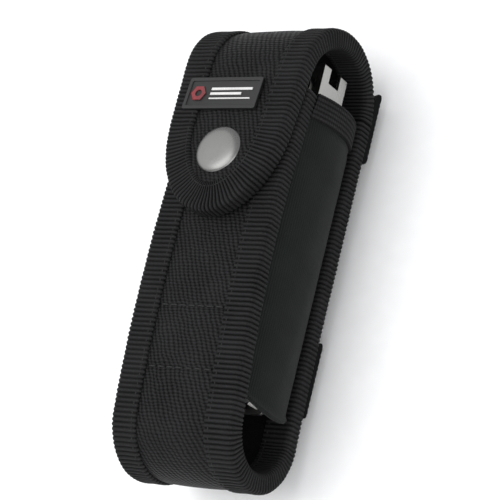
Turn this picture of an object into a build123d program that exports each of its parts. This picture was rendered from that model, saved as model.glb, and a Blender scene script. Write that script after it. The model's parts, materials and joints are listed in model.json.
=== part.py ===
"""Belt sheath with a folding plier tool inside: one closed solid per named piece, in millimetres.

The sheath lies on its back: X is the width, Y runs from the rounded bottom to the flap end and
Z points out of the front.  Pieces are drawn with Y from the bottom fold and Z from the back face,
then moved together so that the middle of the sheath stands over the origin on its belt loops.
"""
import os
from math import acos, cos, degrees, radians, sin, sqrt

from build123d import *

# ---------------------------------------------------------------- sheath, driving sizes
sheath_length = 138.0        # bottom fold to flap crown
sheath_width = 40.0          # across the bound edges
bend_radius = 17.3           # outer radius of the bottom fold
front_radius = 400.0         # long bow of the front panel
front_lean = 7.0             # slope where the fold meets the front panel, degrees
face_cloth = 1.1             # woven nylon with its coating
foam_core = 2.3
lining_cloth = 0.9
tape = 0.7                   # one thickness of edge binding tape
tape_leg = 8.5               # how far the tape laps over each face
edge_margin = 0.8            # tape around the raw edge
flap_gap = 2.0               # space for the press stud between front panel and flap
front_top = 115.0            # top edge of the front panel
flap_round = 28.0            # length of the rounded flap end
flap_tip = 73.0
flap_seam = 0.14             # between the flap's end and the crown it continues

gusset_cloth = 1.2
gusset_bulge = 22.4          # how far the side gusset stands out from the middle
gusset_radius = 24.3
gusset_low = 22.5
gusset_high = 115.0
hem_height = 7.5
hem_cloth = 0.55

web_thick = 1.8              # belt webbing
web_standoff = 7.2           # outer face of the webbing below the back panel
loop_half = 20.2
loop_rise = 4.8              # bow of a cross loop from its sewn ends to its middle
loop_low = (27.0, 50.0)
loop_web = 22.5              # width of the upper loop
loop_end = 8.5               # flap end of the sheath to the upper loop
strap_half = 11.2
strap_span = (52.0, 105.0)

snap_y = 92.2
cap_radius = 7.5
cap_height = 2.6
cap_post = 1.9
socket_radius = 5.5
socket_bore = 2.6
stud_radius = 2.2
patch_centre = (-4.0, 110.0)
patch_size = (26.0, 10.5)
patch_thick = 1.1
stitch_rows = (28.3, 46.5)

# ---------------------------------------------------------------- tool, driving sizes
tool_z = 19.1                # middle plane of the tool above the back face
tool_low = 22.0              # end of the closed handles at the bottom of the sheath
tool_high = 127.3            # ear tops
handle_out = 17.0            # outer face of a handle from the middle
handle_in = 1.0              # open side of a handle from the middle
handle_half = 6.4            # half thickness of a handle
plate = 1.2                  # handle sheet
pivot_x = 10.5               # head pivots and implement pivots from the middle
head_pivot_y = 120.0
implement_pivot_y = 28.0
end_radius = 9.5
notch_clearance = 0.2        # handle notch, beside a jaw's tang
notch_floor = 122.5
slot_clearance = 0.25        # blade slots in the outer web, beside the outer implements
joint_y = 105.0              # plier joint
joint_radius = 8.0
head_clearance = 0.05        # plier head to the outer implements
tang_step = 0.3              # a tang is thinner than the head by this on each flat
tang_radius = 5.0
tang_width = 5.2
jaw_length = 37.0
head_pin = 2.0
joint_pin = 3.0
implement_pin = 1.6
running = 0.05               # radial running clearance
implement_gap = 0.7          # between two implements on a pin
stack_clearance = 0.55       # between the implements and a handle's sheet
scale_thick = 1.9
scale_span = (34.0, 103.0)

# ---------------------------------------------------------------- derived sheath section
panel = face_cloth + foam_core + lining_cloth
half_width = sheath_width / 2
lean = radians(front_lean)
bow_y = bend_radius + (front_radius - bend_radius) * sin(lean)
bow_z = bend_radius - (front_radius - bend_radius) * cos(lean)
flap_outer = front_radius + flap_gap + panel
# crown arc: touches the back plane, the flap's bow and the full length
_b = 2 * (-bow_z - (sheath_length - bow_y) + flap_outer)
_c = bow_z ** 2 + (sheath_length - bow_y) ** 2 - flap_outer ** 2
crown_radius = (-_b + sqrt(_b ** 2 - 4 * _c)) / 2
crown_y = sheath_length - crown_radius
crown_z = crown_radius
flap_turn = degrees(acos((crown_y - bow_y) / (flap_outer - crown_radius)))
snap_turn = degrees(acos((snap_y - bow_y) / flap_outer))
patch_turn = degrees(acos((patch_centre[1] - bow_y) / flap_outer))
loop_high = (sheath_length - loop_end - loop_web, sheath_length - loop_end)
flap_stop = degrees(flap_seam / crown_radius)
lift = web_standoff
middle = sheath_length / 2
# four implements share the inside width of a handle
implement_thick = (2 * (handle_half - plate - stack_clearance) - 3 * implement_gap) / 4
layer_pitch = implement_thick + implement_gap
slot_in = 1.5 * layer_pitch - implement_thick / 2 - slot_clearance
head_half = 1.5 * layer_pitch - implement_thick / 2 - head_clearance
tang_half = head_half - tang_step
notch_half = tang_half + notch_clearance


def bow_angle(y, radius):
    """Direction of the outward normal, in degrees from +Y, where a bowed face passes height y."""
    return degrees(acos((y - bow_y) / radius))


shell_path = [
    ("arc", bow_y, bow_z, front_radius, bow_angle(front_top, front_radius), 90 + front_lean),
    ("arc", bend_radius, bend_radius, bend_radius, 90 + front_lean, 270),
    ("line", bend_radius, crown_y),
]
crown_path = [("arc", crown_y, crown_z, crown_radius, 270, 360)]
flap_path = [
    ("arc", bow_y, bow_z, flap_outer, bow_angle(flap_tip - 3.0, flap_outer), flap_turn),
    ("arc", crown_y, crown_z, crown_radius, flap_turn, flap_stop),
]


def across(face, x0, x1):
    """A Y-Z section swept along the width."""
    return extrude(Plane.YZ.offset((x0 + x1) / 2) * face, (x1 - x0) / 2, both=True)


def raised(shape, z0, z1):
    """A plan shape given a thickness along Z."""
    return Pos(0, 0, (z0 + z1) / 2) * extrude(shape, (z1 - z0) / 2, both=True)


def chain(path, inset):
    """Edges and end points of a section path moved inwards by inset."""
    edges = []
    ends = []
    for step in path:
        if step[0] == "arc":
            _, cy, cz, radius, start, stop = step
            r = radius - inset
            edges.append(CenterArc((cy, cz), r, start, stop - start))
            for angle in (radians(start), radians(stop)):
                ends.append((cy + r * cos(angle), cz + r * sin(angle)))
        else:
            _, y0, y1 = step
            edges.append(Line((y0, inset), (y1, inset)))
            ends += [(y0, inset), (y1, inset)]
    return edges, ends[0], ends[-1]


def layer(path, near, far, x0, x1):
    """The slab between two insets of a section path, from x0 to x1 across the width."""
    outer, outer_start, outer_end = chain(path, near)
    inner, inner_start, inner_end = chain(path, far)
    caps = [Line(outer_start, inner_start), Line(outer_end, inner_end)]
    return across(make_face(outer + inner + caps), x0, x1)


def inside(inset):
    """Everything enclosed by the panels of the sheath."""
    edges, start, end = chain(shell_path + crown_path, inset)
    return across(make_face(edges + [Line(start, end)]), -30, 30)


def block(x0, x1, y0, y1, z0, z1):
    return Pos((x0 + x1) / 2, (y0 + y1) / 2, (z0 + z1) / 2) * Box(x1 - x0, y1 - y0, z1 - z0)


def pole(x, y, z0, z1, radius):
    return Pos(x, y, (z0 + z1) / 2) * Cylinder(radius, z1 - z0)


def bowed_plane(turn, radius, x=0.0):
    """A plane lying on a bowed face, its Z along the outward normal at turn degrees from +Y."""
    angle = radians(turn)
    origin = (x, bow_y + radius * cos(angle), bow_z + radius * sin(angle))
    return Plane(origin=origin, x_dir=(1, 0, 0), z_dir=(0, cos(angle), sin(angle)))


# ---------------------------------------------------------------- sheath pieces

def side_binding(path, side):
    """Tape folded around one long edge of a strip of the sheath."""
    edge = sorted((side * (half_width - edge_margin), side * half_width))
    legs = sorted((side * (half_width - tape_leg), side * (half_width - edge_margin)))
    wrap = layer(path, -tape, panel + tape, *edge)
    wrap += layer(path, -tape, 0, *legs)
    wrap += layer(path, panel, panel + tape, *legs)
    return wrap


def top_binding():
    """Tape folded over the top edge of the front panel, between the side bindings."""
    x = half_width - tape_leg
    angles = [bow_angle(y, front_radius) for y in (front_top + edge_margin, front_top, front_top - tape_leg)]
    cap = [("arc", bow_y, bow_z, front_radius, angles[0], angles[1])]
    legs = [("arc", bow_y, bow_z, front_radius, angles[1], angles[2])]
    fold = layer(cap, -tape, panel + tape, -x, x)
    fold += layer(legs, -tape, 0, -x, x)
    fold += layer(legs, panel, panel + tape, -x, x)
    return fold


def gusset_sheet(side, inner, outer, y0, y1):
    """Part of a bulging side wall, cut off where it meets the two panels."""
    centre = side * (gusset_bulge - gusset_radius)
    ring = Cylinder(outer, y1 - y0) - Cylinder(inner, y1 - y0)
    ring = Pos(centre, (y0 + y1) / 2, tool_z) * (Rot(90, 0, 0) * ring)
    x0, x1 = sorted((side * 14.0, side * 30.0))
    return ring & block(x0, x1, y0, y1, -10, 50) & inside(panel + tape)


def belt_loop(span):
    """Webbing bowed across the back, its ends sewn under the side edges."""
    bow = (loop_half ** 2 + loop_rise ** 2) / (2 * loop_rise)
    ring = Pos(0, bow - web_standoff) * (Circle(bow) - Circle(bow - web_thick))
    ring &= Pos(0, -4) * Rectangle(2 * loop_half, 8)
    band = extrude(Plane.XZ.offset(-sum(span) / 2) * ring, (span[1] - span[0]) / 2, both=True)
    return band - layer(shell_path + crown_path, -tape, panel + 6, -30, 30)


def belt_strap():
    """Upright webbing on the back, sewn down at both ends, that the belt passes behind."""
    low, high = strap_span
    depth = web_standoff + 6.0
    centre = (low + high) / 2
    outer = RectangleRounded(high - low, depth, 3.0)
    inner = RectangleRounded(high - low - 2 * web_thick, depth, 1.6)
    section = Pos(centre, depth / 2 - web_standoff) * outer
    section -= Pos(centre, depth / 2 - web_standoff + web_thick) * inner
    return across(section, -strap_half, strap_half) & block(-20, 20, 0, 140, -10, 0)


def stitches():
    """Two rows of lock stitches across the front panel."""
    rows = []
    for y in stitch_rows:
        plane = bowed_plane(bow_angle(y, front_radius), front_radius)
        for step in range(-3, 4):
            rows.append(plane * (Pos(step * 3.1, 0, 0.15) * Box(2.1, 0.55, 0.3)))
    return Compound(rows)


def outline(inset):
    """Plan shape of the flap: straight sides and a rounded end."""
    a = half_width - inset
    b = flap_round - inset
    start = flap_tip + flap_round
    straight = sheath_length + 10 - start
    shape = Pos(0, start) * Ellipse(a, b)
    shape += Pos(0, start + straight / 2) * Rectangle(2 * a, straight)
    return raised(shape, -20, 80)


def flap_layer(near, far, inset=edge_margin):
    cloth = layer(flap_path, near, far, -half_width, half_width) & outline(inset)
    drill = bowed_plane(snap_turn, flap_outer) * Cylinder(cap_post + 0.2, 30)
    return cloth - drill


def flap_binding():
    rim = layer(flap_path, -tape, panel + tape, -half_width, half_width)
    rim &= outline(0) - outline(tape_leg)
    return rim - (layer(flap_path, 0, panel, -half_width, half_width) & outline(edge_margin))


def front_layer(near, far):
    x = half_width - edge_margin
    cloth = layer(shell_path, near, far, -x, x)
    drill = bowed_plane(snap_turn, front_radius) * (Pos(0, 0, -5) * Cylinder(2.0, 20))
    return cloth - drill


def crown_layer(near, far):
    """The back half of the arch that the flap folds over."""
    x = half_width - edge_margin
    return layer(crown_path, near, far, -x, x)


def snap_cap():
    plane = bowed_plane(snap_turn, flap_outer)
    rim = 0.8
    rise = cap_height - rim
    ball = (cap_radius ** 2 + rise ** 2) / (2 * rise)
    dome = Pos(0, 0, rim + rise - ball) * Sphere(ball)
    dome &= Pos(0, 0, rim + 5) * Cylinder(cap_radius, 10)
    disc = Pos(0, 0, rim / 2) * Cylinder(cap_radius, rim)
    post = Pos(0, 0, -(panel + 0.35) / 2) * Cylinder(cap_post, panel + 0.35)
    return plane * (dome + disc + post)


def snap_socket():
    plane = bowed_plane(snap_turn, flap_outer)
    ring = Cylinder(socket_radius, 1.2) - Cylinder(socket_bore, 2)
    return plane * (Pos(0, 0, -panel - 0.65) * ring)


def snap_stud():
    plane = bowed_plane(snap_turn, front_radius)
    base = Pos(0, 0, 0.2) * Cylinder(5.2, 0.4)
    head = Pos(0, 0, 0.95) * Cylinder(stud_radius, 1.1)
    return plane * (base + head)


def snap_rivet():
    plane = bowed_plane(snap_turn, front_radius)
    post = Pos(0, 0, -panel / 2 - 0.1) * Cylinder(1.8, panel + 0.2)
    washer = Pos(0, 0, -panel - 0.3) * Cylinder(4.5, 0.5)
    return plane * (post + washer)


def patch():
    """Moulded rubber badge, sewn over the edge tape."""
    plane = bowed_plane(patch_turn, flap_outer, patch_centre[0])
    body = Pos(0, 0, tape + patch_thick / 2) * Box(*patch_size, patch_thick)
    body = fillet(body.edges().filter_by(Axis.Z), 0.8)
    well = Pos(0, 0, tape + patch_thick) * Box(patch_size[0] - 2.4, patch_size[1] - 2.4, 0.8)
    return plane * (body - well)


def patch_emblem():
    """Raised hexagon and bars in the badge's well."""
    plane = bowed_plane(patch_turn, flap_outer, patch_centre[0])
    floor = tape + patch_thick - 0.4
    ring = raised(RegularPolygon(2.6, 6) - Circle(1.1), floor, floor + 0.35)
    signs = [plane * (Pos(-8.6, 0, 0) * ring)]
    for y, length, tall in ((1.35, 14.5, 0.8), (-0.25, 11.0, 0.8), (-1.85, 14.5, 0.4)):
        signs.append(plane * (Pos(-4.3 + length / 2, y, floor + 0.175) * Box(length, tall, 0.35)))
    return Compound(signs)


# ---------------------------------------------------------------- tool pieces, drawn for the right side

def handle():
    """Folded channel, open towards the middle, notched and slotted in its outer web."""
    shape = Pos((handle_in + handle_out) / 2, (tool_low + head_pivot_y) / 2) * Rectangle(
        handle_out - handle_in, head_pivot_y - tool_low)
    shape = fillet(shape.vertices().group_by(Axis.Y)[0], 4.0)
    shape += Pos(pivot_x, head_pivot_y) * Circle(end_radius)
    window = Pos((handle_in + handle_out) / 2, 75) * Rectangle(handle_out - handle_in, 2 * (tool_high - 75))
    shape &= window
    body = raised(shape, -handle_half, handle_half)
    body -= block(0, handle_out - plate, 0, 200, -handle_half + plate, handle_half - plate)
    body -= block(handle_out - 3, 30, notch_floor, 200, -notch_half, notch_half)
    for side in (-1, 1):
        z0, z1 = sorted((side * slot_in, side * (handle_half - plate)))
        body -= block(handle_out - 3, 30, 0, 107, z0, z1)
    body -= pole(pivot_x, head_pivot_y, -10, 10, head_pin)
    body -= pole(pivot_x, implement_pivot_y, -10, 10, implement_pin)
    return body


def rivet(x, y, radius, half, head, head_thick):
    body = pole(x, y, -half, half, radius)
    body += pole(x, y, half, half + head_thick, head)
    body += pole(x, y, -half - head_thick, -half, head)
    return body


def scale():
    """Grip panel for one flat of a handle, with two screw holes and finger grooves."""
    y0, y1 = scale_span
    slab = Pos(9.4, (y0 + y1) / 2, handle_half + scale_thick / 2) * Box(13.2, y1 - y0, scale_thick)
    slab = fillet(slab.edges().filter_by(Axis.Z), 3.0)
    slab = chamfer(slab.faces().sort_by(Axis.Z)[-1].edges(), 0.7)
    for y in (y0 + 6, y1 - 6):
        slab -= pole(9.4, y, 0, 20, 1.7)
    top = handle_half + scale_thick
    for step in range(5):
        groove = Pos(9.4, 58 + step * 5.5, top + 0.3) * (Rot(0, 90, 0) * Cylinder(0.8, 20))
        slab -= groove
    return slab


def scale_screws():
    heads = []
    for side in (-1, 1):
        for y in (scale_span[0] + 6, scale_span[1] - 6):
            low, high = sorted((side * handle_half, side * (handle_half + scale_thick - 0.3)))
            screw = pole(9.4, y, low, high, 1.6)
            socket = raised(RegularPolygon(0.8, 6), -0.6, 0.6)
            heads.append(screw - Pos(9.4, y, high if side > 0 else low) * socket)
    return Compound(heads)


def backspring():
    """Leaf spring along the inside of the web."""
    x1 = handle_out - plate
    leaf = block(x1 - 1.0, x1, 40, 88, -slot_in + 0.1, slot_in - 0.1)
    return leaf


def washers():
    """Spacers between the implements on their pin."""
    stack = []
    thick = layer_pitch - implement_thick - 0.08
    for step in (-1, 0, 1):
        ring = Cylinder(3.6, thick) - Cylinder(implement_pin, 2)
        stack.append(Pos(pivot_x, implement_pivot_y, step * layer_pitch) * ring)
    return Compound(stack)


def jaw(side):
    """One half of the plier head: tang on one side, nose on the other, lapped at the joint."""
    disc = pole(0, joint_y, -head_half, head_half, joint_radius)
    dx = pivot_x
    dy = head_pivot_y - joint_y
    length = sqrt(dx * dx + dy * dy)
    turn = degrees(acos(dy / length))
    bar = Pos(side * dx / 2, joint_y + dy / 2, 0) * (Rot(0, 0, -side * turn) * Box(tang_width, length, 2 * tang_half))
    tang = bar + pole(side * dx, head_pivot_y, -tang_half, tang_half, tang_radius)
    nose = Polygon((0.06, 0), (7.6, 0), (6.4, -9), (4.4, -20), (2.6, -jaw_length), (0.06, -jaw_length), align=None)
    blank = Pos(0, joint_y, 0) * raised(nose, -head_half, head_half)
    taper = Polygon((0, head_half), (-9, head_half), (-jaw_length, 1.7), (-jaw_length, -1.7),
                    (-9, -head_half), (0, -head_half), align=None)
    blank &= Pos(0, joint_y, 0) * across(taper, -1, 10)
    blank -= pole(0.06, joint_y - 14.5, -10, 10, 1.6)
    for step in range(9):
        tooth = Pos(0.06, joint_y - 19.5 - 1.8 * step, 0) * (Rot(0, 0, 45) * Box(0.7, 0.7, 10))
        blank -= tooth
    if side > 0:
        blank = mirror(blank, Plane.YZ)
    body = disc + tang + blank
    lap0, lap1 = (-10, 0.03) if side < 0 else (-0.03, 10)
    body -= pole(0, joint_y, lap0, lap1, joint_radius + 0.3)
    body -= pole(0, joint_y, -10, 10, joint_pin + (running if side > 0 else 0))
    return body - pole(side * dx, head_pivot_y, -10, 10, head_pin + running)


def implement(points, level, extras=None):
    """A flat implement on its pin; points run from the pin, +x towards the middle of the tool."""
    shape = Polygon(*points, align=None) + Circle(4.2)
    if extras:
        shape -= extras
    shape -= Circle(implement_pin + running)
    z = level * layer_pitch / 2
    body = raised(shape, z - implement_thick / 2, z + implement_thick / 2)
    return mirror(body, Plane.YZ).moved(Location((pivot_x, implement_pivot_y, 0)))


def teeth(x, start, stop, pitch, size):
    """A row of notches along a blade's edge."""
    cuts = Pos(x, start) * (Rot(0, 0, 45) * Rectangle(size, size))
    for step in range(1, int((stop - start) / pitch)):
        cuts += Pos(x, start + pitch * step) * (Rot(0, 0, 45) * Rectangle(size, size))
    return cuts


def knife_blade():
    points = [(-4.0, 0), (-4.0, 46), (-2.6, 58), (1.2, 69), (4.6, 59), (6.4, 46), (6.4, 13), (4.2, 10), (4.2, 0)]
    body = implement(points, 3)
    z = 1.5 * layer_pitch
    half = implement_thick / 2
    for flip in (1, -1):
        bevel = Polygon((pivot_x - 7.0, z + flip * 0.25), (pivot_x - 2.4, z + flip * (half + 0.1)),
                        (pivot_x - 7.0, z + flip * (half + 0.1)), align=None)
        body -= extrude(Plane.XZ.offset(-implement_pivot_y - 57) * bevel, 43, both=True)
    return body


def serrated_blade():
    points = [(-4.0, 0), (-4.0, 52), (-1.0, 62), (3.0, 66), (6.2, 58), (6.2, 13), (4.2, 10), (4.2, 0)]
    return implement(points, -3, teeth(6.8, 17, 50, 3.2, 2.0))


def saw_blade():
    points = [(-4.0, 0), (-4.0, 64), (5.6, 64), (6.4, 13), (4.2, 10), (4.2, 0)]
    return implement(points, 3, teeth(6.3, 15, 62, 2.0, 1.3))


def file_blade():
    points = [(-4.0, 0), (-4.0, 66), (5.8, 66), (5.8, 13), (4.2, 10), (4.2, 0)]
    body = implement(points, -3)
    low = -1.5 * layer_pitch - implement_thick / 2
    for step in range(22):
        y = implement_pivot_y + 18 + 2.1 * step
        body -= Pos(pivot_x - 0.9, y, low) * (Rot(0, 0, 25) * Box(14, 0.6, 0.4))
    return body


def wide_driver():
    points = [(-4.0, 0), (-3.6, 22), (-1.6, 26), (-2.4, 58), (2.4, 58), (1.6, 26), (3.4, 22), (4.0, 0)]
    return implement(points, 1)


def can_opener():
    points = [(-4.0, 0), (-4.0, 30), (-2.0, 36), (3.2, 38), (3.6, 34), (0.2, 31), (0.2, 27), (3.8, 22), (4.0, 0)]
    return implement(points, -1)


def cross_driver():
    points = [(-4.0, 0), (-3.4, 20), (-1.6, 24), (-1.6, 47), (-0.7, 51), (0.7, 51), (1.6, 47), (1.6, 24),
              (3.2, 20), (4.0, 0)]
    return implement(points, 1)


def bottle_opener():
    points = [(-4.0, 0), (-4.0, 40), (-1.8, 45), (2.0, 45), (3.4, 41), (1.6, 37), (-1.2, 34), (-0.4, 29), (3.6, 27),
              (4.0, 0)]
    return implement(points, -1)


def left(shape):
    return mirror(shape, Plane.YZ)


def back(shape):
    return mirror(shape, Plane.XY)


# ---------------------------------------------------------------- the set of pieces

sheath_pieces = {
    "shell_face": front_layer(0, face_cloth),
    "shell_foam": front_layer(face_cloth, face_cloth + foam_core),
    "shell_lining": front_layer(face_cloth + foam_core, panel),
    "shell_binding_left": side_binding(shell_path, -1),
    "shell_binding_right": side_binding(shell_path, 1),
    "shell_binding_top": top_binding(),
    "crown_face": crown_layer(0, face_cloth),
    "crown_foam": crown_layer(face_cloth, face_cloth + foam_core),
    "crown_lining": crown_layer(face_cloth + foam_core, panel),
    "crown_binding_left": side_binding(crown_path, -1),
    "crown_binding_right": side_binding(crown_path, 1),
    "belt_loop_upper": belt_loop(loop_high),
    "belt_loop_lower": belt_loop(loop_low),
    "belt_strap": belt_strap(),
    "front_stitching": stitches(),
    "flap_face": flap_layer(0, face_cloth),
    "flap_foam": flap_layer(face_cloth, face_cloth + foam_core),
    "flap_lining": flap_layer(face_cloth + foam_core, panel),
    "flap_binding": flap_binding(),
    "snap_cap": snap_cap(),
    "snap_socket": snap_socket(),
    "snap_stud": snap_stud(),
    "snap_rivet": snap_rivet(),
    "badge": patch(),
    "badge_emblem": patch_emblem(),
}
for name, side in (("left", -1), ("right", 1)):
    wall = gusset_sheet(side, gusset_radius - gusset_cloth, gusset_radius, gusset_low, gusset_high)
    hem = gusset_sheet(side, gusset_radius - gusset_cloth - hem_cloth, gusset_radius + hem_cloth,
                       gusset_high - hem_height, gusset_high + hem_cloth)
    sheath_pieces["gusset_" + name] = wall
    sheath_pieces["gusset_hem_" + name] = hem - wall

grip = scale()
tool_pieces = {
    "jaw_a": jaw(-1),
    "jaw_b": jaw(1),
    "jaw_rivet": rivet(0, joint_y, joint_pin, head_half, 4.0, 0.3),
    "handle_right": handle(),
    "handle_left": left(handle()),
    "scale_right_front": grip,
    "scale_right_back": back(grip),
    "scale_left_front": left(grip),
    "scale_left_back": left(back(grip)),
    "scale_screws_right": scale_screws(),
    "scale_screws_left": left(scale_screws()),
    "head_pin_right": rivet(pivot_x, head_pivot_y, head_pin, handle_half, 3.2, 0.5),
    "head_pin_left": rivet(-pivot_x, head_pivot_y, head_pin, handle_half, 3.2, 0.5),
    "implement_pin_right": rivet(pivot_x, implement_pivot_y, implement_pin, handle_half, 2.8, 0.5),
    "implement_pin_left": rivet(-pivot_x, implement_pivot_y, implement_pin, handle_half, 2.8, 0.5),
    "backspring_right": backspring(),
    "backspring_left": left(backspring()),
    "washers_right": washers(),
    "washers_left": left(washers()),
    "knife_blade": left(knife_blade()),
    "serrated_blade": left(serrated_blade()),
    "wide_driver": left(wide_driver()),
    "can_opener": left(can_opener()),
    "saw_blade": saw_blade(),
    "file_blade": file_blade(),
    "cross_driver": cross_driver(),
    "bottle_opener": bottle_opener(),
}

os.makedirs("parts", exist_ok=True)
for name, shape in sheath_pieces.items():
    export_step(shape.moved(Location((0, -middle, lift))), "parts/" + name + ".step")
for name, shape in tool_pieces.items():
    export_step(shape.moved(Location((0, -middle, lift + tool_z))), "parts/" + name + ".step")
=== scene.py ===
import json
from math import acos, cos, degrees, pi, radians, sin, sqrt

import bmesh
import bpy
import numpy as np
from mathutils import Matrix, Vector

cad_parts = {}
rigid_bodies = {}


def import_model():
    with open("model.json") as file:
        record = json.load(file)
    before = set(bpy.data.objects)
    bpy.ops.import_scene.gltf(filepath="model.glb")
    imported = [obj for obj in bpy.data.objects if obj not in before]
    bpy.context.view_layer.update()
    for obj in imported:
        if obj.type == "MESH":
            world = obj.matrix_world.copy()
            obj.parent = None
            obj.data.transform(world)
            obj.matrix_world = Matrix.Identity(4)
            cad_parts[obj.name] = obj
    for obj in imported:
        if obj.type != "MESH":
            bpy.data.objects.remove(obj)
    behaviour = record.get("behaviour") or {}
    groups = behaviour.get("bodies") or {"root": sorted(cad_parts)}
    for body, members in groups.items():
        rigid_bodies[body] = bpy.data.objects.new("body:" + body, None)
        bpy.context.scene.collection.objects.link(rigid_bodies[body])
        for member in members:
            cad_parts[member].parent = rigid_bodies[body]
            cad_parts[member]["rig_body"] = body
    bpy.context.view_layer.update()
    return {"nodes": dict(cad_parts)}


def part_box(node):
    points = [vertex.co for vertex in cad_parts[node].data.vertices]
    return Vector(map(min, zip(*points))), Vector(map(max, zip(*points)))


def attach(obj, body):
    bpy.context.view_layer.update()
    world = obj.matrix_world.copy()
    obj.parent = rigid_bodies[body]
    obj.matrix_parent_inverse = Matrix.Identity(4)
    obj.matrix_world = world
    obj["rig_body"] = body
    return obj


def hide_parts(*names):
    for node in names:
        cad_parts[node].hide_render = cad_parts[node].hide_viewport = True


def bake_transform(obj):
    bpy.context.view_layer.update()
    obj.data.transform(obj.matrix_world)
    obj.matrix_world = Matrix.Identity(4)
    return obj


bl_info = {
    "name": "Sheathed plier tool",
    "version": (1, 0, 0),
    "blender": (4, 5, 0),
    "location": "3D View > Sidebar > Sheath",
    "description": "Padded belt sheath with bound edges and the folding plier tool inside it",
    "category": "Add Mesh",
}

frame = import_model()

# ------------------------------------------------------------------ sheath section, millimetres
# Y runs from the bottom fold, Z from the outer face of the back panel.
MIDDLE, LIFT = 69.0, 7.2
LENGTH, HALF_WIDTH = 138.0, 20.0
FOLD, BOW, LEAN = 17.3, 400.0, 7.0
PANEL, CLOTH, FOAM, TAPE, LEG, MARGIN = 4.3, 1.1, 2.3, 0.7, 8.5, 0.8
FRONT_TOP, FLAP_ROUND, FLAP_TIP = 115.0, 28.0, 73.0
TOOL_Z, STUD_Y, CAP_RADIUS = 19.1, 92.2, 7.5
WEB, STANDOFF = 1.8, 7.2
LOOP_LOW, LOOP_HIGH, LOOP_HALF, LOOP_RISE = (27.0, 50.0), (107.0, 129.5), 20.2, 4.8
STRAP_SPAN, STRAP_WIDTH, STRAP_CORNER = (52.0, 105.0), 22.4, 2.1
FLOOR_GAP = 0.1             # the woven relief stands out by less than this
STITCH_ROWS = (28.3, 46.5)
SEAM_INSET = LEG - 1.2      # seam from the bound edge
SEAM_HEIGHT = TAPE + 0.08
GUSSET_BULGE, GUSSET_RADIUS, GUSSET_LOW, GUSSET_HIGH = 22.4, 24.3, 20.7, 115.0
HEM_LOW, HEM_HIGH = 107.6, 115.7
BOW_Y = FOLD + (BOW - FOLD) * sin(radians(LEAN))
BOW_Z = FOLD - (BOW - FOLD) * cos(radians(LEAN))
FLAP_BOW = BOW + 2.0 + PANEL
_b = 2 * (-BOW_Z - (LENGTH - BOW_Y) + FLAP_BOW)
_c = BOW_Z ** 2 + (LENGTH - BOW_Y) ** 2 - FLAP_BOW ** 2
CROWN = (-_b + sqrt(_b ** 2 - 4 * _c)) / 2
CROWN_Y = LENGTH - CROWN
FLAP_TURN = degrees(acos((CROWN_Y - BOW_Y) / (FLAP_BOW - CROWN)))


def turn_at(y, radius):
    """Angle of a bowed face's outward normal at height y: the arc cosine of its share of the radius."""
    return degrees(acos((y - BOW_Y) / radius))


BODY_RUN = [
    ("arc", BOW_Y, BOW_Z, BOW, turn_at(FRONT_TOP, BOW), 90 + LEAN),
    ("arc", FOLD, FOLD, FOLD, 90 + LEAN, 270),
    ("run", FOLD, 0.0, CROWN_Y, 0.0),
]
FLAP_RUN = [
    ("arc", CROWN_Y, CROWN, CROWN, -90, FLAP_TURN),
    ("arc", BOW_Y, BOW_Z, FLAP_BOW, FLAP_TURN, turn_at(FLAP_TIP, FLAP_BOW)),
]


def step_length(step):
    if step[0] == "arc":
        return step[3] * abs(radians(step[5] - step[4]))
    return sqrt((step[3] - step[1]) ** 2 + (step[4] - step[2]) ** 2)


def run_length(run):
    return sum(step_length(step) for step in run)


def trace(run, s):
    """Points and outward normals of a section at lengths s.

    On an arc the point is the centre plus the radius times the cosine and sine of an angle that
    grows evenly with s; on a straight run it moves evenly from end to end, and its normal is the
    direction turned a quarter clockwise.  Beyond the ends the first and last steps carry on.
    """
    s = np.asarray(s, float)
    out = np.zeros(s.shape + (4,))
    start = 0.0
    for k, step in enumerate(run):
        size = step_length(step)
        t = (s - start) / size
        if step[0] == "arc":
            a = np.radians(step[4] + t * (step[5] - step[4]))
            here = np.stack([step[1] + step[3] * np.cos(a), step[2] + step[3] * np.sin(a),
                             np.cos(a), np.sin(a)], -1)
        else:
            dy, dz = (step[3] - step[1]) / size, (step[4] - step[2]) / size
            here = np.stack([step[1] + t * size * dy, step[2] + t * size * dz, 0 * t + dz, 0 * t - dy], -1)
        mask = (t >= 0) | (k == 0)
        out = np.where(mask[..., None], here, out)
        start += size
    return out


def flare(x, s):
    """How far the soft arch spreads: 3.2 mm on the left and 0.7 mm on the right, times x over the
    half width, times the sine squared of the way along from the back seam to the stud."""
    t = np.clip(s / 92.0, 0, 1)
    spread = np.where(x < 0, 3.2, 0.7) * np.sin(pi * t ** 0.85) ** 2
    return x + spread * x / HALF_WIDTH


def sag(x, s):
    """How far the worn fold spreads: 2.0 mm on the right and 0.2 mm on the left, times x over the
    half width, times the sine squared of the way from 30 mm to 185 mm along the strip."""
    t = np.clip((s - 30.0) / 155.0, 0, 1)
    spread = np.where(x > 0, 2.0, 0.2) * np.sin(pi * t) ** 2
    return x + spread * x / HALF_WIDTH


def on_run(run, x, s, h):
    """Point at x across the width, s along the section and h out along its normal."""
    p = trace(run, s)
    if run is FLAP_RUN:
        x = flare(*np.broadcast_arrays(x, s))
    elif run is BODY_RUN:
        x = sag(*np.broadcast_arrays(x, s))
    x, h = np.broadcast_arrays(x, h)
    return np.stack(np.broadcast_arrays(x, p[..., 0] + h * p[..., 2], p[..., 1] + h * p[..., 3]), -1)


def settled(points):
    """Sheath millimetres to frame metres."""
    return (np.asarray(points, float) + (0.0, -MIDDLE, LIFT)) * 0.001


# ------------------------------------------------------------------ meshes

def shade(obj, angle=42.0):
    obj.data.polygons.foreach_set("use_smooth", np.ones(len(obj.data.polygons), bool))
    obj.data.set_sharp_from_angle(angle=radians(angle))


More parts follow.
